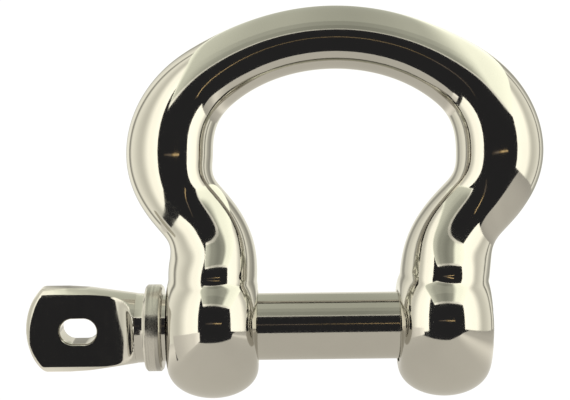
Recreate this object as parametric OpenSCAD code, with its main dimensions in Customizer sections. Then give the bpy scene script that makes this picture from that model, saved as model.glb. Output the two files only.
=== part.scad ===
// Bow shackle with a screw pin, stainless steel. Millimetres.
// X runs along the pin (head at -X), Z points up to the crown, Y is the depth.
// The origin is on the pin's axis, midway between the two ears.

/* [Bow] */
// Clear width of the jaw, from ear to ear
jaw_w = 21; // [17:0.1:26]
// Widest clear width inside the bow
bow_in_w = 36.7; // [31:0.1:45]
// Clear height inside the bow, from the pin's surface to the crown
bow_in_h = 33.7; // [28:0.1:42]
// Height of the bow's widest place above the pin's axis
widest_h = 26; // [22:0.1:30]
// Diameter of the metal at the crown
crown_d = 9.5; // [7:0.1:11]
// Diameter of the metal at the bow's widest place
limb_d = 13.1; // [10.5:0.1:15]
// Diameter of the metal in the S bend above each leg
bend_d = 11.2; // [9.5:0.1:13]
// Diameter of each leg above its ear
leg_d = 13.4; // [11:0.1:15]
// Distance of each leg's centre outside its ear's centre
leg_out = 0.2; // [0:0.05:1]
// Bend radius of the shoulders, above the widest place
shoulder_r = 13.7; // [10:0.1:15]
// Bend radius of the limbs, below the widest place
limb_r = 11.5; // [8:0.1:13]
// Bend radius of the S bend into each leg
bend_r = 12.2; // [8:0.1:14]
// How late the metal thickens between the crown and the widest place
taper = 2; // [1:0.1:2.2]
// Distance that the crown leans toward the tapped ear
lean = 1.3; // [0:0.1:2.5]

/* [Ears] */
// Diameter of each ear
ear_d = 21.2; // [18:0.1:26]
// Thickness of each ear, along the pin
ear_t = 13.5; // [11:0.1:16]
// Radius of the flat on each side of an ear
ear_flat = 6.1; // [6:0.05:7.5]
// Depth of each leg where it starts to spread toward its ear
neck_t = 12.4; // [11:0.1:13.4]
// Height of that place above the pin's axis
neck_z = 13.8; // [12.5:0.1:16]
// Depth of each leg where it stands on its ear
foot_t = 17.1; // [15:0.1:17.6]
// Height above the pin's axis at which the leg has reached that depth
foot_z = 7.9; // [7:0.1:9]
// Countersink at each end of the pin's holes
hole_bevel = 0.25; // [0.1:0.05:0.4]

/* [Pin] */
// Diameter of the pin's shank and of its thread
pin_d = 10; // [8:0.1:11]
// Radial clearance of the shank in the plain ear
shank_gap = 0.25; // [0.15:0.01:0.6]
// Radial clearance of the thread's crests in the tapped ear
thread_gap = 0.08; // [0.05:0.01:0.3]
// Pitch of the thread
pitch = 1.5; // [1:0.05:2]
// How far the thread's start lies inside the tapped ear
thread_in = 1.2; // [0.9:0.1:3]
// How far the pin's tip lies inside the tapped ear's outer face
tip_in = 0.5; // [0:0.1:2]
// Daylight between the collar and the plain ear
collar_gap = 0.7; // [0.3:0.1:1.5]
// Diameter of the collar
collar_d = 13; // [12:0.1:16]
// Thickness of the collar
collar_t = 2.5; // [1.8:0.05:4]

/* [Head] */
// Diameter of the neck between the collar and the head
neck_d = 10.3; // [9:0.1:12]
// Length of the neck
neck_l = 1.4; // [0.8:0.1:3]
// Length of the flattened head
head_l = 16.6; // [15:0.1:21]
// Height of the flattened head
head_h = 13; // [12:0.1:16]
// Thickness of the flattened head
head_t = 4; // [3:0.1:6]
// Length over which the head swells from its flats to the neck
swell_l = 4.2; // [2.5:0.1:5]
// Radius of the head's rounded end
end_r = 10; // [8.5:0.1:20]
// Bevel along the head's long edges
head_bevel = 0.9; // [0.4:0.1:1.3]
// Bevel round the head's end
end_bevel = 0.3; // [0.2:0.1:1.2]
// Length of the eye through the head
eye_l = 5.5; // [5:0.1:7.5]
// Height of the eye through the head
eye_h = 3.9; // [3:0.1:4.9]
// Distance of the eye's centre from the head's rounded end
eye_in = 7.9; // [6:0.1:9]
// Angle that the head has come to rest at, turned about the pin
head_turn = 11; // [0:1:90]

/* [Hidden] */
$fn = 96;
ear_x = jaw_w / 2 + ear_t / 2;
leg_x = ear_x + leg_out;
ear_face = jaw_w / 2 + ear_t;
top_z = pin_d / 2 + bow_in_h + crown_d / 2;
wide_x = bow_in_w / 2 + limb_d / 2;

// The centre line of half the bow, from the crown to the leg: four arcs that meet in tangents.
sh_x = wide_x - shoulder_r;
drop = widest_h - top_z;
crown_r = (shoulder_r * shoulder_r - sh_x * sh_x - drop * drop) / (2 * (drop + shoulder_r));
crown_z = top_z - crown_r;
crown_a = atan2(widest_h - crown_z, sh_x);
lb_x = wide_x - limb_r;
bend_x = leg_x + bend_r;
bend_z = widest_h - sqrt(pow(limb_r + bend_r, 2) - pow(bend_x - lb_x, 2));
bend_a = atan2(bend_z - widest_h, bend_x - lb_x);

// Seen from the side, the leg spreads in a straight slope, stands upright, then meets the ear's rim.
leg_r = leg_d / 2;
ear_r = ear_d / 2;
touch_z = sqrt(pow(ear_r, 2) - pow(foot_t / 2, 2));
// How deep the leg's skin runs inside the ear's
sunk = 0.25;
leg_foot = 1.5;
// The metal's length from the crown to the widest place
crown_l = crown_r * (90 - crown_a) * PI / 180;
shoulder_l = shoulder_r * crown_a * PI / 180;

// Steps along each arc, down the leg, and round the metal
n_crown = 9;
n_shoulder = 7;
n_limb = 6;
n_bend = 7;
n_leg = 9;
sides = 32;

function on_arc(x, z, r, a) = [x + r * cos(a), z + r * sin(a), a];
// Smooth step from a to b as t runs from 0 to 1
function ease(a, b, t) = a + (b - a) * (1 - cos(180 * t)) / 2;
// Radius of the metal at a distance s along it from the crown
function upper_r(s) = ease(crown_d, limb_d, pow(s / (crown_l + shoulder_l), taper)) / 2;
function lean_at(z) = ease(0, lean, min(1, max(0, (z - 1) / 26)));
function flare_b(z) =
    z > touch_z ? lookup(z, [[foot_z, foot_t / 2], [neck_z, neck_t / 2]]) :
    sqrt(pow(ear_r, 2) - z * z);
// The skin of the leg slips inside the ear's as it goes down
function sink_at(z) = z > touch_z ? 0 : sunk * min(1, (touch_z - z) / 1.5);

// Each station: centre x and z, direction of the section's outward axis, half width, half depth.
stations = concat(
    [for (i = [0:n_crown - 1])
        let (t = i / n_crown, p = on_arc(0, crown_z, crown_r, 90 + (crown_a - 90) * t),
             r = upper_r(crown_l * t))
        [p[0], p[1], p[2], r, r]],
    [for (i = [0:n_shoulder - 1])
        let (t = i / n_shoulder, p = on_arc(sh_x, widest_h, shoulder_r, crown_a * (1 - t)),
             r = upper_r(crown_l + shoulder_l * t))
        [p[0], p[1], p[2], r, r]],
    [for (i = [0:n_limb - 1])
        let (t = i / n_limb, p = on_arc(lb_x, widest_h, limb_r, bend_a * t),
             r = ease(limb_d, bend_d, t) / 2)
        [p[0], p[1], p[2], r, r]],
    [for (i = [0:n_bend - 1])
        let (t = i / n_bend, a = bend_a * (1 - t), p = on_arc(bend_x, bend_z, bend_r, 180 + a),
             r = ease(bend_d, leg_d, t) / 2)
        [p[0], p[1], a, r, max(r, r + flare_b(p[1]) - leg_r)]],
    [for (i = [0:n_leg])
        let (z = bend_z + (leg_foot - bend_z) * i / n_leg, s = sink_at(z))
        [ease(leg_x, ear_x, min(1, i / 6)), z, 0, leg_r - s, flare_b(z) - s]]
);
n_half = len(stations);
// Both halves in one run, from the left leg's foot over the crown to the right leg's foot
run = concat(
    [for (i = [n_half - 1:-1:1])
        let (s = stations[i]) [-s[0], s[1], 180 - s[2], s[3], s[4]]],
    stations
);
n_run = len(run);
skin = [for (s = run) for (j = [0:sides - 1])
    let (q = 360 * j / sides, u = s[3] * cos(q))
    [s[0] + lean_at(s[1]) + u * cos(s[2]), s[4] * sin(q), s[1] + u * sin(s[2])]];
skin_faces = concat(
    [for (i = [0:n_run - 2]) for (j = [0:sides - 1])
        let (k = (j + 1) % sides)
        each [[i * sides + j, i * sides + k, (i + 1) * sides + j],
              [i * sides + k, (i + 1) * sides + k, (i + 1) * sides + j]]],
    [[for (j = [sides - 1:-1:0]) j]],
    [[for (j = [0:sides - 1]) (n_run - 1) * sides + j]]
);

// An ear: a disc along X with flat sides and an elliptic rim
n_rim = 10;
module ear(x) {
    translate([x, 0, 0]) rotate([0, 90, 0]) rotate_extrude() polygon(concat(
        [[0, -ear_t / 2]],
        [for (i = [-n_rim:n_rim])
            [ear_flat + (ear_r - ear_flat) * cos(90 * i / n_rim), ear_t / 2 * sin(90 * i / n_rim)]],
        [[0, ear_t / 2]]
    ));
}

// A hole through one ear, with a countersink at each face
module ear_hole(x, r) {
    translate([x, 0, 0]) rotate([0, 90, 0]) {
        cylinder(r = r, h = ear_t + 2, center = true);
        for (m = [0, 1]) mirror([0, 0, m])
            translate([0, 0, ear_t / 2 - hole_bevel])
                cylinder(r1 = r, r2 = r + 2 * hole_bevel, h = 2 * hole_bevel);
    }
}

module bow() {
    color("silver") difference() {
        union() {
            polyhedron(points = skin, faces = skin_faces, convexity = 6);
            ear(-ear_x);
            ear(ear_x);
        }
        ear_hole(-ear_x, pin_d / 2 + shank_gap);
        ear_hole(ear_x, pin_d / 2 + thread_gap);
    }
}

// The pin's stations along X
tip_x = ear_face - tip_in;
thread_x = jaw_w / 2 + thread_in;
collar_x = -ear_face - collar_gap;
neck_x = collar_x - collar_t;
head_x = neck_x - neck_l;
end_x = head_x - head_l;
tip_bevel = 0.9;
collar_bevel = 0.35;
// Thread form: a ridge on a core, with flats at crest and root
core_r = pin_d / 2 - 0.61 * pitch;
crest_r = pin_d / 2;
per_turn = 24;
turns = floor((tip_x - tip_bevel - thread_x - 0.6) / pitch) - 1;
n_ridge = turns * per_turn;
// Across the ridge: distance along the pin, as a share of the pitch, and height as a share
ridge = [[0.08, 0], [0.44, 1], [0.56, 1], [0.92, 0]];
// The ridge runs out over half a turn at each end
function rise(k) = min(1, 0.12 + k * 2 / per_turn, 0.12 + (n_ridge - k) * 2 / per_turn);
function ridge_at(k, c) =
    let (a = -360 * k / per_turn, r = core_r - 0.3 + (c[1] > 0 ? 0.3 + (crest_r - core_r) * rise(k) : 0))
    [thread_x + 0.3 + pitch * (k / per_turn + c[0]), r * sin(a), r * cos(a)];
ridge_points = [for (k = [0:n_ridge]) for (c = ridge) ridge_at(k, c)];
ridge_faces = concat(
    [for (k = [0:n_ridge - 1]) for (j = [0:3])
        let (a = 4 * k + j, b = 4 * k + (j + 1) % 4, c = b + 4, d = a + 4)
        each [[a, b, d], [b, c, d]]],
    [[3, 2, 1, 0]],
    [[4 * n_ridge, 4 * n_ridge + 1, 4 * n_ridge + 2, 4 * n_ridge + 3]]
);

// The head's rounded end, and where its long edges start to taper to the neck
corner = 0.4;
taper_x = end_x + head_l * 0.48;
function end_arc(r) = end_x + end_r - sqrt(end_r * end_r - r * r);
edge_r = head_h / 2 - corner / 2;

// The pin as it is turned: head blank, neck, collar, shank and the core of the thread
module turned() {
    rotate([0, 90, 0]) rotate_extrude() polygon(concat(
        [for (i = [0:6]) [edge_r * i / 6, end_arc(edge_r * i / 6)]],
        [
            [head_h / 2, end_arc(edge_r) + corner],
            [head_h / 2, taper_x],
            [neck_d / 2, head_x],
            [neck_d / 2, neck_x],
            [collar_d / 2 - collar_bevel, neck_x],
            [collar_d / 2, neck_x + collar_bevel],
            [collar_d / 2, collar_x - collar_bevel],
            [collar_d / 2 - collar_bevel, collar_x],
            [pin_d / 2, collar_x],
            [pin_d / 2, thread_x],
            [core_r, thread_x + (crest_r - core_r) * 0.6],
            [core_r, tip_x - tip_bevel],
            [core_r - tip_bevel, tip_x],
            [0, tip_x]
        ]
    ));
}

// What is taken off one side of the head: a flat that runs out to the neck on a hollow curve
swell = neck_d / 2 + 0.3 - head_t / 2;
function hollow(t) = head_t / 2 + swell * (1 - sqrt(1 - pow(0.95 * t, 2))) / (1 - sqrt(1 - pow(0.95, 2)));
module side_cut() {
    linear_extrude(height = 2 * head_h, center = true) polygon(concat(
        [
            [end_x - 1, head_h],
            [end_x - 1, head_t / 2 - end_bevel],
            [end_x + 0.3, head_t / 2 - end_bevel],
            [end_x + 0.3 + 1.6 * end_bevel, head_t / 2]
        ],
        [for (i = [0:10]) [head_x - swell_l + swell_l * i / 10, hollow(i / 10)]],
        [[head_x, head_h]]
    ));
}

// A bevel along one long edge of the head
module edge_cut() {
    rotate([90, 0, 90]) translate([0, 0, end_x - 1]) linear_extrude(height = head_l)
        polygon([
            [head_t / 2 - head_bevel - 1, head_h / 2 + 1],
            [head_t / 2 + 1, head_h / 2 - head_bevel - 1],
            [head_t / 2 + 1, head_h / 2 + 1]
        ]);
}

module eye() {
    rotate([90, 0, 0]) for (m = [-1, 1])
        translate([end_x + eye_in + m * (eye_l - eye_h) / 2, 0, 0])
            cylinder(d = eye_h, h = 2 * head_h, center = true);
    translate([end_x + eye_in, 0, 0]) cube([eye_l - eye_h, 2 * head_h, eye_h], center = true);
}

module screw_pin() {
    color("gainsboro") {
        difference() {
            turned();
            rotate([head_turn, 0, 0]) {
                for (m = [0, 1]) mirror([0, m, 0]) {
                    side_cut();
                    for (k = [0, 1]) mirror([0, 0, k]) edge_cut();
                }
                eye();
            }
        }
        polyhedron(points = ridge_points, faces = ridge_faces, convexity = 12);
    }
}

bow();
screw_pin();
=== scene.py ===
import math

import bmesh
import bpy
import numpy as np
from mathutils import Matrix, Vector


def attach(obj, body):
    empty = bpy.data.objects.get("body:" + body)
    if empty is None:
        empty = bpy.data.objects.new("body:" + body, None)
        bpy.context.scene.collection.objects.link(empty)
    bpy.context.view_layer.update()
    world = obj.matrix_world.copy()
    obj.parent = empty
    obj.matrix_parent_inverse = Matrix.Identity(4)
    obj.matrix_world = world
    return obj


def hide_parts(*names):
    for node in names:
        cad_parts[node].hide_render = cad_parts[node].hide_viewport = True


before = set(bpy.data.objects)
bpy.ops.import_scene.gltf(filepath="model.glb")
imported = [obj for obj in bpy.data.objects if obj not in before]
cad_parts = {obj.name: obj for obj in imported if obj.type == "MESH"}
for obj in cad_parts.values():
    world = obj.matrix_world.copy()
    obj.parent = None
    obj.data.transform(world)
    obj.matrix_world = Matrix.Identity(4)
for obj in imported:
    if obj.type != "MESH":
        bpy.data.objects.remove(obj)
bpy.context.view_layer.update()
MM = 0.001

# Sizes in millimetres, as in the CAD source.
JAW_W, BOW_IN_W, BOW_IN_H, WIDEST_H = 21.0, 36.7, 33.7, 26.0
CROWN_D, LIMB_D, BEND_D, LEG_D, LEG_OUT = 9.5, 13.1, 11.2, 13.4, 0.2
SHOULDER_R, LIMB_R, BEND_R, TAPER, LEAN = 13.7, 11.5, 12.2, 2.0, 1.3
EAR_D, EAR_T, EAR_FLAT, HOLE_BEVEL = 21.2, 13.5, 6.1, 0.25
NECK_T, NECK_Z, FOOT_T, FOOT_Z = 12.4, 13.8, 17.1, 7.9
PIN_D, SHANK_GAP, THREAD_GAP, PITCH, THREAD_IN, TIP_IN = 10.0, 0.25, 0.08, 1.5, 1.2, 0.5
COLLAR_GAP, COLLAR_D, COLLAR_T = 0.7, 13.0, 2.5
NECK_D, NECK_L, HEAD_L, HEAD_H, HEAD_T, SWELL_L = 10.3, 1.4, 16.6, 13.0, 4.0, 4.2
END_R, HEAD_BEVEL, END_BEVEL = 10.0, 0.9, 0.3
EYE_L, EYE_H, EYE_IN, HEAD_TURN = 5.5, 3.9, 7.9, 11.0

# Sizes that only the visual model has.
EAR_DOME = 0.75  # how much rounder the ears are at the front than below
EAR_SKIN = 0.01  # how far the ears stay inside the CAD's box
EAR_TOP = 10.4  # height up to which the ear's shape shows in the leg
EAR_BLEND, EDGE_BLEND = 0.7, 0.04  # blend of leg and ear: at the front and back, and everywhere
BLEND_Z, BLEND_IN, BLEND_OUT = 1.0, 3.5, 3.0  # the first starts here, grows over this, ends over this
LEVEL_Z = 4  # height under which the bow's sections lie level
BEND_SOFT, SOFT_Z, SOFT_IN = 4.5, 2.5, 3.0  # softening of the bends: steps, and where it sets in
SINK, SINK_H, SINK_SLOPE = 0.25, 1.5, 0.35  # how the leg goes into the ear below where they touch
LEG_HURRY = 1.5  # how many times sooner than its end the leg's line reaches the ear's middle
LEG_SOFT, LEG_STEP, LEG_REACH = 0.28, 0.05, 24  # rounding of the leg's depth: size, step, steps
CORE_SHARE = 0.61  # the thread's depth as a share of its pitch
CREST_HALF, FLANK, FLANK_ROUND = 0.44, 0.37, 0.3  # the thread's form, in shares of its pitch
GROOVE, GROOVE_LOW = 0.78, 0.02  # the tapped hole's grooves: their depth, and what is left off it
COLLAR_BEVEL, TIP_BEVEL = 0.3, 0.9
NECK_FILLET, CREASE_R, RIM_R, TIP_R = 0.25, 0.12, 0.15, 0.2  # roundings of the lathe profile
FACE_SOFT, CORNER_SOFT, END_SOFT = 0.22, 0.3, 0.18  # rounding where the head's faces meet
END_EDGE, CORNER_OFF, END_SLOPE = 6.3, 0.4, 0.62  # the head's end: its half height, corners, bevel
SWELL_ARC, BEVEL_STOP = 0.95, 0.55  # how far round its arc the swell goes, and where the bevel fades
HUB_IN = 5.0  # from the head's end to the point its rows fan out from
EYE_LIP_R, EYE_LIP_IN, EYE_LIP_OUT, EYE_TIGHT = 0.45, 0.5, 0.12, 0.04  # how the eye opens at its faces

# How finely the surfaces are divided.
SIDES, PIN_SIDES, HOLE_SIDES, EYE_SIDES = 128, 208, 144, 96
STEP = 0.3
SMOOTH_TO = math.radians(32)

# The bow's centre line, from the crown's middle to the right ear.
EAR_X = JAW_W / 2 + EAR_T / 2
EAR_FACE = JAW_W / 2 + EAR_T
EAR_R, LEG_R = EAR_D / 2, LEG_D / 2
LEG_X = EAR_X + LEG_OUT
TOP_Z = PIN_D / 2 + BOW_IN_H + CROWN_D / 2
WIDE_X = BOW_IN_W / 2 + LIMB_D / 2
SH_X = WIDE_X - SHOULDER_R
DROP = WIDEST_H - TOP_Z
CROWN_R = (SHOULDER_R**2 - SH_X**2 - DROP**2) / (2 * (DROP + SHOULDER_R))
CROWN_Z = TOP_Z - CROWN_R
CROWN_A = math.atan2(WIDEST_H - CROWN_Z, SH_X)
LB_X = WIDE_X - LIMB_R
BEND_X = LEG_X + BEND_R
BEND_Z = WIDEST_H - math.sqrt((LIMB_R + BEND_R) ** 2 - (BEND_X - LB_X) ** 2)
BEND_A = math.atan2(BEND_Z - WIDEST_H, BEND_X - LB_X)
TOUCH_Z = math.sqrt(EAR_R**2 - FOOT_T**2 / 4)

# Half depth of the leg at heights above the pin's axis: it spreads, stands upright, then meets the ear.
LEG_Z = (TOUCH_Z - 1.3, TOUCH_Z, FOOT_Z, NECK_Z, 20)
LEG_B = (FOOT_T / 2 - SINK, FOOT_T / 2, FOOT_T / 2, NECK_T / 2, NECK_T / 2)

# Places along the pin, which lies along X with its head on the left.
COLLAR_X = -EAR_FACE - COLLAR_GAP
NECK_X = COLLAR_X - COLLAR_T
HEAD_X = NECK_X - NECK_L
END_X = HEAD_X - HEAD_L
TAPER_X = END_X + HEAD_L * 0.48
TIP_X = EAR_FACE - TIP_IN
THREAD_X = JAW_W / 2 + THREAD_IN
THREAD_START = THREAD_X + 0.3 + PITCH * 0.5
CREST_R = PIN_D / 2
CORE_R = CREST_R - CORE_SHARE * PITCH


def ease(a, b, t):
    return a + (b - a) * (1 - np.cos(np.pi * np.clip(t, 0, 1))) / 2


def smooth_max(a, b, k):
    h = np.maximum(k - np.abs(a - b), 0) / k
    return np.maximum(a, b) + h * h * k / 4


def circle(n):
    """Angles of n even steps round a circle."""
    return np.arange(n) * 2 * math.pi / n


def lean_at(z):
    """How far the bow leans to the right at height z: not at all in the ears, fully at its widest."""
    return ease(0.0, LEAN, np.clip((z - 1) / 26, 0, 1))


def flare_b(z):
    """Half depth of the leg at height z, with its corners rounded."""
    zs = np.arange(0, 24, LEG_STEP)
    k = np.exp(-0.5 * (np.arange(-LEG_REACH, LEG_REACH + 1) * LEG_STEP / LEG_SOFT) ** 2)
    sharp = np.pad(np.interp(zs, LEG_Z, LEG_B), LEG_REACH, "edge")
    return np.interp(z, zs, np.convolve(sharp, k / k.sum(), "valid"))


def half_line():
    """The bow's centre line from the crown to the pin's axis: x, z, half width, half depth."""
    crown_l, shoulder_l = CROWN_R * (math.pi / 2 - CROWN_A), SHOULDER_R * CROWN_A
    upper = lambda s: ease(CROWN_D, LIMB_D, (s / (crown_l + shoulder_l)) ** TAPER) / 2
    # Each arc: its middle, radius, first and last angle, number of rows, half width along it
    arcs = (
        (0, CROWN_Z, CROWN_R, math.pi / 2, CROWN_A, 90, lambda t: upper(crown_l * t)),
        (SH_X, WIDEST_H, SHOULDER_R, CROWN_A, 0, 60, lambda t: upper(crown_l + shoulder_l * t)),
        (LB_X, WIDEST_H, LIMB_R, 0, BEND_A, 45, lambda t: ease(LIMB_D, BEND_D, t) / 2),
        (BEND_X, BEND_Z, BEND_R, math.pi + BEND_A, math.pi, 50, lambda t: ease(BEND_D, LEG_D, t) / 2),
    )
    rows = []
    for mid_x, mid_z, radius, first, last, n, half_width in arcs:
        for t in np.linspace(0, 1, n, endpoint=False):
            a = first + (last - first) * t
            z, r = mid_z + radius * math.sin(a), half_width(t)
            rows.append((mid_x + radius * math.cos(a), z, r, max(r, r + flare_b(z) - LEG_R)))
    # The straight leg, which sinks into its ear
    for t in np.linspace(0, 1, 46):
        z = BEND_Z * (1 - t)
        below = max(0, TOUCH_Z - z)
        sink = SINK * min(1, below / SINK_H)
        x = ease(LEG_X, EAR_X, t * BEND_Z / (BEND_Z - SINK_H) * LEG_HURRY)
        rows.append((x, z, LEG_R - sink, flare_b(z) - (SINK_SLOPE * below + sink)))
    return np.array(rows)


def even(points, step):
    """The same run resampled at even steps along its first two columns."""
    s = np.concatenate([[0], np.cumsum(np.hypot(*np.diff(points[:, :2], axis=0).T))])
    n = int(round(s[-1] / step))
    t = np.linspace(0, s[-1], n + 1)
    return np.stack([np.interp(t, s, points[:, i]) for i in range(points.shape[1])], 1)


def blur(values, sigma):
    """Gaussian blur along the first axis, with the ends held."""
    n = int(4 * sigma) + 1
    k = np.exp(-0.5 * (np.arange(-n, n + 1) / sigma) ** 2)
    k /= k.sum()
    pad = np.concatenate([np.repeat(values[:1], n, 0), values, np.repeat(values[-1:], n, 0)])
    return np.stack([np.convolve(pad[:, i], k, "valid") for i in range(values.shape[1])], 1)


def bow_run():
    """The whole centre line from ear to ear, with its bends softened: columns as in half_line."""
    half = even(half_line(), STEP)
    left = half[::-1].copy()
    left[:, 0] *= -1
    run = np.concatenate([left[:-1], half])
    soft = np.clip((run[:, 1] - SOFT_Z) / SOFT_IN, 0, 1)[:, None]
    return blur(run, BEND_SOFT) * soft + run * (1 - soft)


def ear_inside(x, y, z):
    """Below 0 inside the ear, with x from the ear's middle."""
    w = np.abs(x) / (EAR_T / 2)
    rho = np.hypot(y, z)
    q = np.maximum(rho - EAR_FLAT, 0) / (EAR_R - EAR_SKIN - EAR_FLAT)
    return w * w + q ** (2 - EAR_DOME * (y / np.maximum(rho, 1e-6)) ** 2) - 1


def ear_on(sign):
    """The same test for the ear on one side of the bow, -1 or 1."""
    return lambda x, y, z: ear_inside(x - sign * EAR_X, y, z)


def shoot(inside, centre, way, far):
    """Distance from each centre, along each way, to where inside() turns positive."""
    lo, hi = np.zeros(way.shape[:-1]), np.full(way.shape[:-1], far)
    for _ in range(34):
        mid = (lo + hi) / 2
        p = centre + way * mid[..., None]
        inner = inside(p[..., 0], p[..., 1], p[..., 2]) < 0
        lo, hi = np.where(inner, mid, lo), np.where(inner, hi, mid)
    return (lo + hi) / 2


def mesh_from_rows(name, rows, cap_a, cap_b):
    """A closed mesh from rows of points (n, sides, 3) in mm, with a point at each end."""
    n, m = rows.shape[:2]
    verts = np.concatenate([rows.reshape(-1, 3), [cap_a, cap_b]]) * MM
    i, j = np.meshgrid(np.arange(n - 1), np.arange(m), indexing="ij")
    k = (j + 1) % m
    quads = np.stack([i * m + j, i * m + k, (i + 1) * m + k, (i + 1) * m + j], -1).reshape(-1, 4)
    js = np.arange(m)
    ks = (js + 1) % m
    tris_a = np.stack([np.full(m, n * m), ks, js], -1)
    tris_b = np.stack([np.full(m, n * m + 1), (n - 1) * m + js, (n - 1) * m + ks], -1)
    faces = quads.tolist() + tris_a.tolist() + tris_b.tolist()
    mesh = bpy.data.meshes.new(name)
    mesh.from_pydata(verts.tolist(), [], faces)
    bm = bmesh.new()
    bm.from_mesh(mesh)
    bmesh.ops.recalc_face_normals(bm, faces=bm.faces)
    bm.to_mesh(mesh)
    bm.free()
    mesh.update()
    obj = bpy.data.objects.new(name, mesh)
    bpy.context.scene.collection.objects.link(obj)
    return obj


def cut(obj, *tools):
    """Takes the tools away from obj, then smooths its shading."""
    for tool in tools:
        m = obj.modifiers.new("cut", "BOOLEAN")
        m.operation, m.solver, m.object = "DIFFERENCE", "MANIFOLD", tool
    dg = bpy.context.evaluated_depsgraph_get()
    mesh = bpy.data.meshes.new_from_object(obj.evaluated_get(dg))
    obj.modifiers.clear()
    obj.data = mesh
    for tool in tools:
        bpy.data.objects.remove(tool)
    mesh.materials.clear()
    mesh.shade_smooth()
    mesh.set_sharp_from_angle(angle=SMOOTH_TO)
    return obj


# The bow: one run of sections from the left ear's pole over the crown to the right ear's pole.
def ear_fan(sign):
    """Rows that fan out round one ear's middle, from the pin's axis down to the ear's pole."""
    c, s = np.cos(circle(SIDES)), np.sin(circle(SIDES))
    tilt = np.radians(np.arange(1.5, 90, 1.5))[:, None, None]
    out, depth, up = np.array([sign, 0, 0.0]), np.array([0, 1.0, 0]), np.array([0, 0, 1.0])
    ways = np.cos(tilt) * (out * c[:, None] + depth * s[:, None])[None] - np.sin(tilt) * up
    mid = np.array([sign * EAR_X, 0, 0.0])
    return mid + ways * shoot(ear_on(sign), mid, ways, 16)[..., None]


def bow_mesh():
    run = bow_run()
    x, z = run[:, 0], run[:, 1]
    zero = np.zeros(len(run))
    c, s = np.cos(circle(SIDES)), np.sin(circle(SIDES))
    tangent = np.gradient(run[:, :2], axis=0)
    tangent /= np.linalg.norm(tangent, axis=1)[:, None]
    out = np.stack([-tangent[:, 1], zero, tangent[:, 0]], 1)
    for sign in (-1, 1):
        out[(z < LEVEL_Z) & (np.sign(x) == sign)] = (sign, 0, 0)
    centre = np.stack([x + lean_at(z), zero, z], 1)
    way = out[:, None] * c[None, :, None] + np.array([0, 1, 0])[None, None] * s[None, :, None]
    leg = 1 / np.sqrt((c[None] / run[:, 2:3]) ** 2 + (s[None] / run[:, 3:4]) ** 2)
    near = z < EAR_TOP
    ear = np.zeros_like(leg)
    for sign in (-1, 1):
        rows = near & (np.sign(x) == sign)
        ear[rows] = shoot(ear_on(sign), centre[rows][:, None], way[rows], 16)
    k = EAR_BLEND * np.clip((z - BLEND_Z) / BLEND_IN, 0, 1) * np.clip((EAR_TOP - z) / BLEND_OUT, 0, 1)
    blended = smooth_max(leg, ear, EDGE_BLEND + k[:, None] * s[None] ** 2)
    body = centre[:, None] + way * np.where(near[:, None], blended, leg)[..., None]
    rows = np.concatenate([ear_fan(-1)[::-1], body, ear_fan(1)])
    pole = EAR_SKIN - EAR_R
    return mesh_from_rows("bow_forging", rows, (-EAR_X, 0, pole), (EAR_X, 0, pole))


def thread_form(phase):
    """1 on the crest, 0 on the root, with small rounds between."""
    d = np.abs(phase - np.round(phase))
    t = np.clip((CREST_HALF - d) / FLANK, 0, 1)
    return t * t * (3 - 2 * t) * FLANK_ROUND + t * (1 - FLANK_ROUND)


def hole_cutter(x, r, threaded):
    """A tool along X through the ear at x, flared at both faces, with thread grooves if threaded."""
    a = circle(HOLE_SIDES)
    half, past = EAR_T / 2, 2
    corners = [sign * half + bevel for sign in (-1, 1) for bevel in (-HOLE_BEVEL, HOLE_BEVEL)]
    xs = np.arange(-half - past, half + past + 0.001, PITCH / 14 if threaded else 0.5)
    xs = np.unique(np.concatenate([xs, corners]))
    flare = np.clip(np.abs(xs) - (half - HOLE_BEVEL), 0, 2 * HOLE_BEVEL)
    radius = np.repeat((r + flare)[:, None], HOLE_SIDES, 1)
    if threaded:
        phase = (x + xs[:, None] - THREAD_START) / PITCH + a[None] / (2 * math.pi)
        fade = np.clip((half + 0.4 - np.abs(xs)) / 0.8, 0, 1)[:, None]
        radius = np.maximum(radius, r + (thread_form(phase) * GROOVE - GROOVE_LOW) * fade)
    along = np.repeat((x + xs)[:, None], HOLE_SIDES, 1)
    rows = np.stack([along, radius * np.sin(a)[None], radius * np.cos(a)[None]], -1)
    return mesh_from_rows("hole", rows, (x + xs[0], 0, 0), (x + xs[-1], 0, 0))


# The pin: the head's rows, then the collar, the shank and the thread as one lathe profile.
def rounded(corners, steps=5):
    """A profile of (x, r) points, where a corner with a third number is rounded to that radius."""
    out = []
    for i, p in enumerate(corners):
        if len(p) < 3 or i in (0, len(corners) - 1):
            out.append(p[:2])
            continue
        a, b, c = np.array(corners[i - 1][:2]), np.array(p[:2]), np.array(corners[i + 1][:2])
        u, v = (a - b) / np.linalg.norm(a - b), (c - b) / np.linalg.norm(c - b)
        half = math.acos(np.clip(np.dot(u, v), -1, 1)) / 2
        d = p[2] / math.tan(half)
        m = b + (u + v) / np.linalg.norm(u + v) * p[2] / math.sin(half)
        p0, p1 = b + u * d, b + v * d
        a0, a1 = math.atan2(*(p0 - m)[::-1]), math.atan2(*(p1 - m)[::-1])
        turn = (a1 - a0 + math.pi) % (2 * math.pi) - math.pi
        for t in np.linspace(0, 1, steps + 1):
            out.append((m[0] + p[2] * math.cos(a0 + turn * t), m[1] + p[2] * math.sin(a0 + turn * t)))
    return out


def spread(points, step):
    """Extra points along each straight part longer than step."""
    out = [points[0]]
    for a, b in zip(points[:-1], points[1:]):
        n = max(1, int(math.ceil(math.dist(a, b) / step)))
        for t in range(1, n + 1):
            out.append((a[0] + (b[0] - a[0]) * t / n, a[1] + (b[1] - a[1]) * t / n))
    return out


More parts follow.
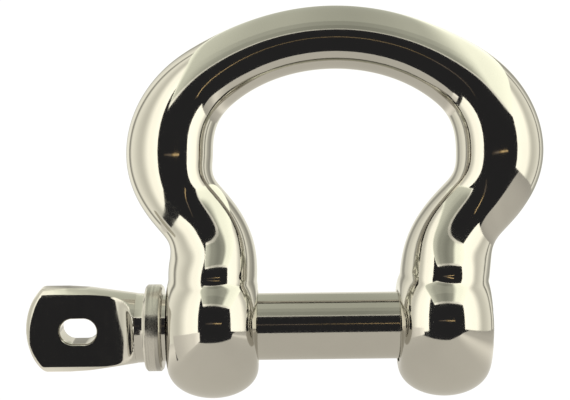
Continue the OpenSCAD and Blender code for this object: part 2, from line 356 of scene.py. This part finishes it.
def turn_head(points):
    """Points of the head's own frame, turned about the pin to where the head rests."""
    turn = math.radians(HEAD_TURN)
    y = points[..., 1] * math.cos(turn) - points[..., 2] * math.sin(turn)
    z = points[..., 1] * math.sin(turn) + points[..., 2] * math.cos(turn)
    return np.stack([points[..., 0], y, z], -1)


def head_inside(x, y, z):
    """Below 0 inside the flattened head, in the head's own frame."""
    rho = np.hypot(y, z)
    half_t, half_h = HEAD_T / 2, HEAD_H / 2
    diagonal, slant = 0.7071, 0.85  # these make a sloping face's value a distance
    # The round blank that the head is pressed from, drawn in toward the neck
    blank = np.interp(x, [END_X, TAPER_X - 1.5, TAPER_X + 1.5, HEAD_X],
                      [half_h, half_h, half_h - 0.2, NECK_D / 2 + 0.1])
    # The flat sides, which swell out to the neck along an arc
    t = np.clip((x - (HEAD_X - SWELL_L)) / SWELL_L, 0, 1)
    arc = lambda v: 1 - np.sqrt(1 - (SWELL_ARC * v) ** 2)
    side = half_t + (NECK_D / 2 + 0.3 - half_t) * arc(t) / arc(1.0)
    long_bevel = (np.abs(y) + np.abs(z) - half_t - half_h + HEAD_BEVEL) * diagonal
    # The rounded end, its corners with the long edges, and its own bevel
    dome = END_X + END_R - np.sqrt(np.maximum(END_R**2 - rho * rho, 0))
    edge_x = END_X + END_R - math.sqrt(END_R**2 - END_EDGE**2)
    corner = (rho - half_h + edge_x + CORNER_OFF - x) * diagonal
    end_bevel = (np.abs(y) - half_t + END_BEVEL - (x - dome) * END_SLOPE) * slant
    f = rho - blank
    f = smooth_max(f, np.abs(y) - side, FACE_SOFT)
    f = smooth_max(f, long_bevel - 2 * np.clip(t - BEVEL_STOP, 0, 1), FACE_SOFT)
    f = smooth_max(f, dome - x, FACE_SOFT)
    f = smooth_max(f, corner, CORNER_SOFT)
    return smooth_max(f, end_bevel, END_SOFT)


def head_angles(n):
    """Angles round the pin from the head's own Z toward its Y, closer together at the head's bevels."""
    grid = np.linspace(0, 2 * math.pi, 7201)
    density = np.full_like(grid, 0.55)
    for base in (0, math.pi):
        for off in (0.17, 0.36):
            for sign in (-1, 1):
                d = (grid - base - sign * off + math.pi) % (2 * math.pi) - math.pi
                density += 2.6 * np.exp(-0.5 * (d / 0.075) ** 2)
    total = np.concatenate([[0], np.cumsum((density[1:] + density[:-1]) / 2)])
    return np.interp(np.arange(n) / n * total[-1], total, grid)


def head_rows(own):
    """The head from its end to the neck, in its own frame: a fan round the hub, then rings."""
    hub = END_X + HUB_IN
    swell_x = HEAD_X - SWELL_L - 0.6
    xs = np.concatenate([
        np.linspace(HEAD_X, swell_x, 40, endpoint=False),
        np.arange(swell_x, hub, -0.3),
        [hub],
    ])
    centre = np.stack([xs, xs * 0, xs * 0], -1)[:, None]
    ways = np.repeat(own[None], len(xs), 0)
    rings = centre + ways * shoot(head_inside, centre, ways, 12)[..., None]
    tilt = np.concatenate([np.arange(1.2, 70, 1.2), np.arange(70, 89.5, 2.5)])
    tilt = np.radians(tilt)[:, None, None]
    ways = np.cos(tilt) * own[None] - np.sin(tilt) * np.array([1.0, 0, 0])
    mid = np.array([hub, 0, 0.0])
    fan = mid + ways * shoot(head_inside, mid, ways, 14)[..., None]
    return np.concatenate([rings, fan])[::-1]


def shank_rows(angles):
    """The pin from its neck to its tip: each row's x, and its radius at each angle."""
    neck_r, collar_r = NECK_D / 2, COLLAR_D / 2
    profile = rounded([
        (HEAD_X + 0.02, neck_r + 0.06),
        (NECK_X, neck_r, NECK_FILLET),
        (NECK_X, collar_r - COLLAR_BEVEL, CREASE_R),
        (NECK_X + COLLAR_BEVEL, collar_r, RIM_R),
        (COLLAR_X - COLLAR_BEVEL, collar_r, RIM_R),
        (COLLAR_X, collar_r - COLLAR_BEVEL, CREASE_R),
        (COLLAR_X, CREST_R, CREASE_R),
        (THREAD_X - 0.2, CREST_R),
    ])
    rows = [(x, np.full(PIN_SIDES, r)) for x, r in spread(profile, 1.2)]
    thread_end = TIP_X - TIP_BEVEL
    for x in np.arange(THREAD_X - 0.1, thread_end, PITCH / 15):
        form = thread_form((x - THREAD_START) / PITCH + angles / (2 * math.pi))
        run_in = np.clip((x - THREAD_X - 0.2) / 0.9, 0, 1)
        run_out = np.clip((thread_end - 0.2 - x) / 1.2, 0, 1)
        groove = CORE_R + (CREST_R - CORE_R) * form * (0.25 + 0.75 * run_out)
        rows.append((x, CREST_R + (groove - CREST_R) * run_in))
    tip = rounded([(thread_end, CORE_R), (TIP_X, CORE_R - TIP_BEVEL, TIP_R), (TIP_X, 0.4)])
    return rows + [(x, np.full(PIN_SIDES, r)) for x, r in tip]


def pin_mesh():
    a = head_angles(PIN_SIDES)
    own = np.stack([np.zeros(PIN_SIDES), np.sin(a), np.cos(a)], -1)
    y, z = turn_head(own)[:, 1:].T
    body = [np.stack([np.full(PIN_SIDES, x), r * y, r * z], -1) for x, r in shank_rows(np.arctan2(y, z))]
    rows = np.concatenate([turn_head(head_rows(own)), body])
    return mesh_from_rows("screw_pin_steel", rows, (END_X, 0, 0), (TIP_X, 0, 0))


def eye_cutter():
    """An oval tool through the head, opened out a little at both faces."""
    t = circle(EYE_SIDES)
    half, past, lip = HEAD_T / 2, 0.6, EYE_LIP_IN + EYE_LIP_OUT
    far_side = np.linspace(half - EYE_LIP_IN, half + past, 9)
    rows = []
    for y in np.concatenate([np.linspace(-half - past, -half + EYE_LIP_IN, 9), far_side]):
        d = np.clip(abs(y) - (half - EYE_LIP_IN), 0, lip) / lip
        grow = EYE_LIP_R * (1 - math.sqrt(max(0, 1 - d * d)))
        if abs(y) > half + EYE_LIP_OUT:
            grow = EYE_LIP_R + (abs(y) - half - EYE_LIP_OUT)
        r = EYE_H / 2 + grow - EYE_TIGHT
        x = END_X + EYE_IN + np.sign(np.cos(t)) * ((EYE_L - EYE_H) / 2) + r * np.cos(t)
        rows.append(np.stack([x, np.full(EYE_SIDES, y), r * np.sin(t)], -1))
    rows = turn_head(np.array(rows))
    return mesh_from_rows("eye", rows, rows[0].mean(0), rows[-1].mean(0))


plain_hole = hole_cutter(-EAR_X, PIN_D / 2 + SHANK_GAP, False)
tapped_hole = hole_cutter(EAR_X, PIN_D / 2 + THREAD_GAP, True)
bow = cut(bow_mesh(), plain_hole, tapped_hole)
pin = cut(pin_mesh(), eye_cutter())


# Materials: small helpers that each add one node, then one function for each material.
def node(tree, kind, **values):
    """A new node, with its inputs or settings of these names set."""
    n = tree.nodes.new(kind)
    for k, v in values.items():
        if k in n.inputs.keys():
            n.inputs[k].default_value = v
        else:
            setattr(n, k, v)
    return n


def noise(tree, where, scale, detail):
    n = node(tree, "ShaderNodeTexNoise", Scale=scale, Detail=detail)
    tree.links.new(where, n.inputs["Vector"])
    return n.outputs["Fac"]


def stretched(tree, where, scale):
    n = node(tree, "ShaderNodeMapping", Scale=scale)
    tree.links.new(where, n.inputs["Vector"])
    return n.outputs["Vector"]


def ranged(tree, value, lo, hi, to_lo, to_hi):
    """The value moved from the range lo to hi into the range to_lo to to_hi."""
    limits = {"From Min": lo, "From Max": hi, "To Min": to_lo, "To Max": to_hi}
    n = node(tree, "ShaderNodeMapRange", **limits)
    tree.links.new(value, n.inputs["Value"])
    return n.outputs["Result"]


def maths(tree, operation, value, second=None):
    n = node(tree, "ShaderNodeMath", operation=operation)
    if second is not None:
        n.inputs[1].default_value = second
    tree.links.new(value, n.inputs[0])
    return n.outputs[0]


def shaded(tree, value, lo, hi, colour, dark):
    """The colour, darkened by the factor dark where the value is under lo and not at all above hi."""
    n = node(tree, "ShaderNodeValToRGB")
    first, last = n.color_ramp.elements
    first.position, last.position = lo, hi
    first.color = (*[c * dark for c in colour], 1)
    last.color = (*colour, 1)
    tree.links.new(value, n.inputs["Fac"])
    return n.outputs["Color"]


def mixed(tree, kind, share, a, b):
    """a where share is 0, and b where it is 1."""
    n = node(tree, "ShaderNodeMix", data_type=kind)
    for name, value in (("Factor", share), ("A", a), ("B", b)):
        tree.links.new(value, n.inputs[name])
    return n.outputs["Result"]


def bumped(tree, height, strength, distance, normal=None):
    n = node(tree, "ShaderNodeBump", Strength=strength, Distance=distance)
    tree.links.new(height, n.inputs["Height"])
    if normal is not None:
        tree.links.new(normal, n.inputs["Normal"])
    return n.outputs["Normal"]


def polished(name, colour, rough, grain):
    """Polished steel: fine buffing marks, duller patches, and faint waves from hand polishing.
    Gives the material, its shader, the place in metres, and the colour and roughness to link."""
    m = bpy.data.materials.new(name)
    m.use_nodes = True
    tree = m.node_tree
    shader = tree.nodes["Principled BSDF"]
    shader.inputs["Metallic"].default_value = 1.0
    shader.inputs["Specular IOR Level"].default_value = 0.5
    place = node(tree, "ShaderNodeTexCoord").outputs["Object"]
    buffing = noise(tree, stretched(tree, place, grain), scale=2200.0, detail=4.0)
    patches = noise(tree, place, scale=90.0, detail=3.0)
    tone = shaded(tree, patches, 0.3, 0.7, colour, dark=0.93)
    dull = ranged(tree, buffing, 0.3, 0.75, rough, rough * 2.2)
    waves = bumped(tree, noise(tree, place, scale=150.0, detail=1.0), strength=0.25, distance=0.1 * MM)
    marks = bumped(tree, buffing, strength=0.12, distance=0.02 * MM, normal=waves)
    tree.links.new(marks, shader.inputs["Normal"])
    return m, shader, place, tone, dull


def forged_steel():
    m, shader, _, tone, dull = polished("forged_steel", (0.60, 0.58, 0.53), 0.045, (0.3, 1.0, 0.3))
    m.node_tree.links.new(tone, shader.inputs["Base Color"])
    m.node_tree.links.new(dull, shader.inputs["Roughness"])
    return m


def turned_steel():
    """As the bow's, but the collar's edge keeps the lathe's marks and is duller."""
    colour = (0.58, 0.56, 0.51)
    m, shader, place, tone, dull = polished("turned_steel", colour, 0.06, (1.0, 0.25, 0.25))
    tree = m.node_tree
    split = node(tree, "ShaderNodeSeparateXYZ")
    tree.links.new(place, split.inputs[0])
    from_middle = maths(tree, "ADD", split.outputs["X"], -(COLLAR_X + NECK_X) / 2 * MM)
    from_middle = maths(tree, "ABSOLUTE", from_middle)
    edge = ranged(tree, from_middle, (COLLAR_T / 2 - 0.25) * MM, (COLLAR_T / 2 - 0.15) * MM, 1, 0)
    marks = noise(tree, stretched(tree, place, (1.0, 0.06, 0.06)), scale=1500.0, detail=3.0)
    tone = mixed(tree, "RGBA", edge, tone, shaded(tree, marks, 0.4, 0.62, colour, dark=0.62))
    dull = mixed(tree, "FLOAT", edge, dull, ranged(tree, marks, 0, 1, 0.1, 0.34))
    tree.links.new(tone, shader.inputs["Base Color"])
    tree.links.new(dull, shader.inputs["Roughness"])
    return m


bow.data.materials.append(forged_steel())
pin.data.materials.append(turned_steel())

for obj, body, slot, cad in ((bow, "bow", "forged_steel", "bow"), (pin, "pin", "turned_steel", "screw_pin")):
    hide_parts(cad)
    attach(obj, body)


# The white tent that the shackle is lit in. Its sheets show only in reflections.
FLOOR = -EAR_R - 0.02
LEFT, RIGHT, BACK, FAR_LEFT = -60, 113, 260, -175
WALL_TOP, BACK_TOP, OUT_LOW, OUT_TOP = 230, 160, 93, 150
OUTSIDE = LEFT - 0.5
CREAM, BEIGE, PALE_GREEN = (1.0, 0.98, 0.86), (1.0, 0.96, 0.86), (0.98, 1.0, 0.84)
AMBER, PEACH, WHITE = (1.0, 0.72, 0.36), (1.0, 0.8, 0.6), (1, 1, 1)


def across(x0, x1, near, far):
    """Corners of a sheet between two (y, z) places, from x0 to x1."""
    return [(x0, *near), (x1, *near), (x1, *far), (x0, *far)]


def upright(x, low, high):
    """Corners of a wall that faces along X, between two (y, z) places."""
    return [(x, *low), (x, high[0], low[1]), (x, *high), (x, low[0], high[1])]


def strength_along(tree, axis, stops):
    """Strength that follows stops of (place in mm, strength) along one axis."""
    lo, hi, top = stops[0][0], stops[-1][0], max(v for _, v in stops)
    split = node(tree, "ShaderNodeSeparateXYZ")
    tree.links.new(node(tree, "ShaderNodeTexCoord").outputs["Object"], split.inputs[0])
    ramp = node(tree, "ShaderNodeValToRGB")
    ramp.color_ramp.interpolation = "EASE"
    while len(ramp.color_ramp.elements) < len(stops):
        ramp.color_ramp.elements.new(0.5)
    for element, (p, v) in zip(ramp.color_ramp.elements, stops):
        element.position = (p - lo) / (hi - lo)
        element.color = (v / top, v / top, v / top, 1)
    tree.links.new(ranged(tree, split.outputs[axis], lo * MM, hi * MM, 0, 1), ramp.inputs["Fac"])
    return maths(tree, "MULTIPLY", ramp.outputs["Color"], top)


def glow(name, corners, axis, stops, colour, camera=False):
    """A sheet that gives light, as strong as stops say along one axis in mm."""
    mesh = bpy.data.meshes.new(name)
    mesh.from_pydata([tuple(c * MM for c in p) for p in corners], [], [tuple(range(len(corners)))])
    obj = bpy.data.objects.new(name, mesh)
    bpy.context.scene.collection.objects.link(obj)
    m = bpy.data.materials.new(name)
    m.use_nodes = True
    tree = m.node_tree
    tree.nodes.clear()
    light = node(tree, "ShaderNodeEmission", Color=(*colour, 1), Strength=stops[0][1])
    if axis is not None:
        tree.links.new(strength_along(tree, axis, stops), light.inputs["Strength"])
    tree.links.new(light.outputs[0], node(tree, "ShaderNodeOutputMaterial").inputs["Surface"])
    mesh.materials.append(m)
    obj.visible_camera = camera
    obj.visible_shadow = False
    return obj


glow("wall_left", upright(LEFT, (-75, FLOOR), (BACK, WALL_TOP)), "Y",
     [(-75, 1.9), (-34, 1.7), (-12, 0.9), (10, 1.25), (19, 0.35), (28, 1.25), (70, 0.9), (110, 0.45),
      (BACK, 1.1)], CREAM)
glow("wall_right", upright(RIGHT, (-112, FLOOR), (BACK, WALL_TOP)), "Y",
     [(-112, 1.9), (-40, 1.8), (-8, 0.9), (34, 1.2), (46, 0.3), (58, 1.2), (90, 0.6), (140, 0.4),
      (BACK, 1.1)], CREAM)
for name, near, far, mid in (
    ("ceiling_a", (-104, 87), (-70, 93.8), 0.36),
    ("ceiling_b", (-70, 93.8), (-45, 98.9), 0.45),
    ("ceiling_c", (-45, 98.9), (BACK, BACK_TOP), 0.58),
):
    glow(name, across(LEFT, RIGHT, near, far), "X",
         [(LEFT, 1.6), (-54, 0.9), (-24, mid + 0.12), (10, mid), (38, mid + 0.12), (62, 1.6), (RIGHT, 1.8)],
         PALE_GREEN)
glow("ceiling_lip", across(LEFT, RIGHT, (-113, 84), (-104, 87)), "X",
     [(LEFT, 1.7), (-25, 0.95), (10, 0.75), (60, 1.2), (RIGHT, 1.8)], CREAM)
glow("wall_back", across(LEFT, RIGHT, (BACK, FLOOR), (BACK, BACK_TOP)), "X",
     [(LEFT, 1.0), (RIGHT, 1.0)], CREAM)
# The sheet on the table has a gap at the head, and comes further forward toward the right
TABLE = ((-33, -6), (-33, -33), (18, -35), (60, -60), (RIGHT, -75), (RIGHT, BACK), (LEFT, BACK), (LEFT, -6))
glow("table_sheet", [(x, y, FLOOR) for x, y in TABLE], "X",
     [(LEFT, 0.95), (-44, 1.15), (-27, 0.74), (0, 0.68), (27, 0.74), (43, 1.1), (62, 0.7),
      (RIGHT, 0.55)], BEIGE)
glow("card", upright(-33, (-7, FLOOR), (-37, -2)), "Y", [(-37, 1.6), (-22, 1.1), (-7, 0.8)], BEIGE)
# More sheets outside the left wall, for the pin when it is pulled out
glow("ceiling_out", across(FAR_LEFT, OUTSIDE, (-75, OUT_LOW), (BACK, OUT_TOP)), "X",
     [(FAR_LEFT, 1.5), (-150, 0.7), (LEFT, 0.6)], PALE_GREEN)
glow("table_out", across(FAR_LEFT, OUTSIDE, (-32, FLOOR), (BACK, FLOOR)), "X",
     [(FAR_LEFT, 1.0), (LEFT, 0.7)], BEIGE)
glow("wall_out", [(FAR_LEFT, -110, FLOOR), (FAR_LEFT, BACK, FLOOR), (FAR_LEFT, BACK, OUT_TOP),
                  (FAR_LEFT, -110, OUT_LOW)], "Y", [(-110, 1.7), (-20, 1.0), (BACK, 0.9)], CREAM)
# A warm strip in front of the camera, a little above its view
LAMP_Y, LAMP_LOW, LAMP_TOP = -150, 24, 27
glow("lamp", across(0, 60, (LAMP_Y, LAMP_LOW), (LAMP_Y, LAMP_TOP)), "X",
     [(0, 0.3), (25, 1.0), (60, 1.0)], AMBER)
glow("lamp_low", across(-50, 0, (LAMP_Y, LAMP_LOW), (LAMP_Y, LAMP_TOP)), "X", [(-50, 0.1), (0, 0.3)], PEACH)

# The plain pale floor and backdrop that the camera sees
PALE, DARK = 1.05, (0.027, 0.027, 0.029, 1)
WIDE, UNDER = 1500, FLOOR - 0.05
floor = glow("floor", across(-WIDE, WIDE, (-WIDE, UNDER), (WIDE, UNDER)), None, [(0, PALE)], WHITE,
             camera=True)
floor.visible_glossy = False


def studio():
    """A world that is pale to the camera and nearly black to everything else."""
    world = bpy.data.worlds.new("studio")
    world.use_nodes = True
    tree = world.node_tree
    tree.nodes.clear()
    seen = node(tree, "ShaderNodeBackground", Color=(*WHITE, 1), Strength=PALE)
    dark = node(tree, "ShaderNodeBackground", Color=DARK, Strength=1.0)
    mix = node(tree, "ShaderNodeMixShader")
    tree.links.new(node(tree, "ShaderNodeLightPath").outputs["Is Camera Ray"], mix.inputs[0])
    tree.links.new(dark.outputs[0], mix.inputs[1])
    tree.links.new(seen.outputs[0], mix.inputs[2])
    tree.links.new(mix.outputs[0], node(tree, "ShaderNodeOutputWorld").inputs["Surface"])
    return world


# Camera, where the photographer's was: its place in mm, its turns, its sensor and lens in mm
CAM_AT = (-5.70, -196.02, 15.38)
YAW, PITCH_UP, ROLL = math.radians(-0.159), math.radians(1.044), math.radians(-0.667)
SENSOR, LENS = 36, 82.263158


def camera():
    data = bpy.data.cameras.new("camera")
    data.sensor_width, data.lens = SENSOR, LENS
    data.clip_start, data.clip_end = 0.01, 10
    cam = bpy.data.objects.new("camera", data)
    bpy.context.scene.collection.objects.link(cam)
    flat = math.cos(PITCH_UP)
    ahead = Vector((math.sin(YAW) * flat, math.cos(YAW) * flat, math.sin(PITCH_UP)))
    level = ahead.cross(Vector((0, 0, 1))).normalized()
    upward = level.cross(ahead)
    right = level * math.cos(ROLL) + upward * math.sin(ROLL)
    up = -level * math.sin(ROLL) + upward * math.cos(ROLL)
    rows = [(right[i], up[i], -ahead[i], CAM_AT[i] * MM) for i in range(3)]
    cam.matrix_world = Matrix((*rows, (0, 0, 0, 1)))
    return cam


bpy.context.scene.world = studio()
bpy.context.scene.camera = camera()
bpy.context.scene.view_settings.view_transform = "Standard"
